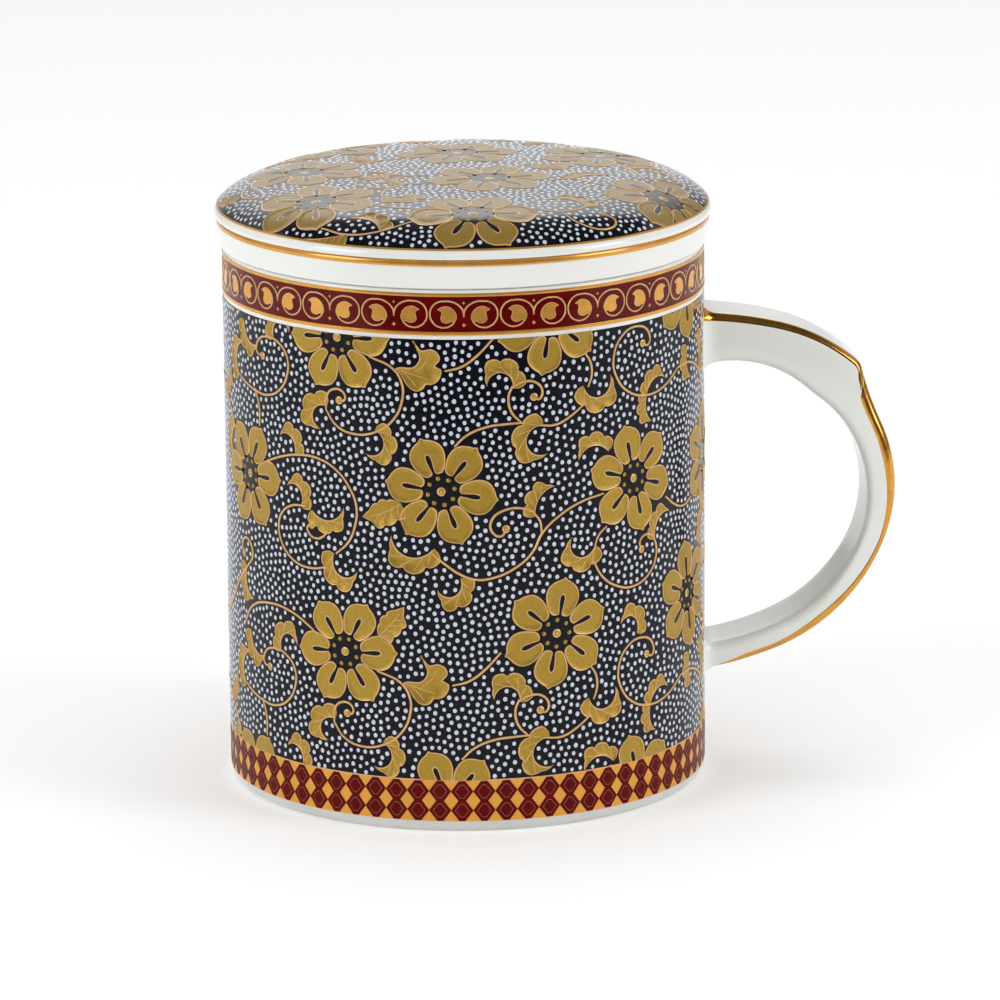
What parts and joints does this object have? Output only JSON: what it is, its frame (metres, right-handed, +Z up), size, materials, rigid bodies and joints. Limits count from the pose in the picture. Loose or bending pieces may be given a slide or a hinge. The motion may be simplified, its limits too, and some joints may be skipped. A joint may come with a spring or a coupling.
{
  "type": "mug with infuser",
  "caption": "Straight-sided porcelain mug with a looped strap handle, a perforated lift-out infuser basket and a knobless drop-in lid, decorated with a dotted vine pattern and gilded edges.",
  "frame": {"origin": "on the mug's axis, in the plane of its standing ring", "axes": "+Z up along the mug's axis, +X out through the middle of the handle"},
  "size_m": [0.1177, 0.0858, 0.1068],
  "materials": {
    "porcelain": "clear gloss glaze over white porcelain",
    "gilding": "bright fired gold",
    "vine_print": "near-black dotted ground with gold flowers and vines, under gloss glaze",
    "scroll_print": "deep red with gold scrolls, under gloss glaze",
    "lozenge_print": "orange gold with dark red lozenges, under gloss glaze"
  },
  "bodies": {
    "mug": {"mug_body": "porcelain", "mug_handle": "porcelain", "handle_gilding": "gilding", "lower_border_decal": "lozenge_print", "pattern_wrap_decal": "vine_print", "upper_border_decal": "scroll_print", "mug_rim_gilding": "gilding"},
    "infuser": {"infuser_basket": "porcelain", "infuser_rim_gilding": "gilding"},
    "lid": {"lid_disc": "porcelain", "lid_decal": "vine_print", "lid_edge_gilding": "gilding"}
  },
  "joints": [
    {"name": "infuser_lift", "type": "slide", "parent": "mug", "child": "infuser", "axis": [0, 0, 1], "range_m": [0, 0.07]},
    {"name": "lid_lift", "type": "slide", "parent": "infuser", "child": "lid", "axis": [0, 0, 1], "range_m": [0, 0.03]}
  ]
}
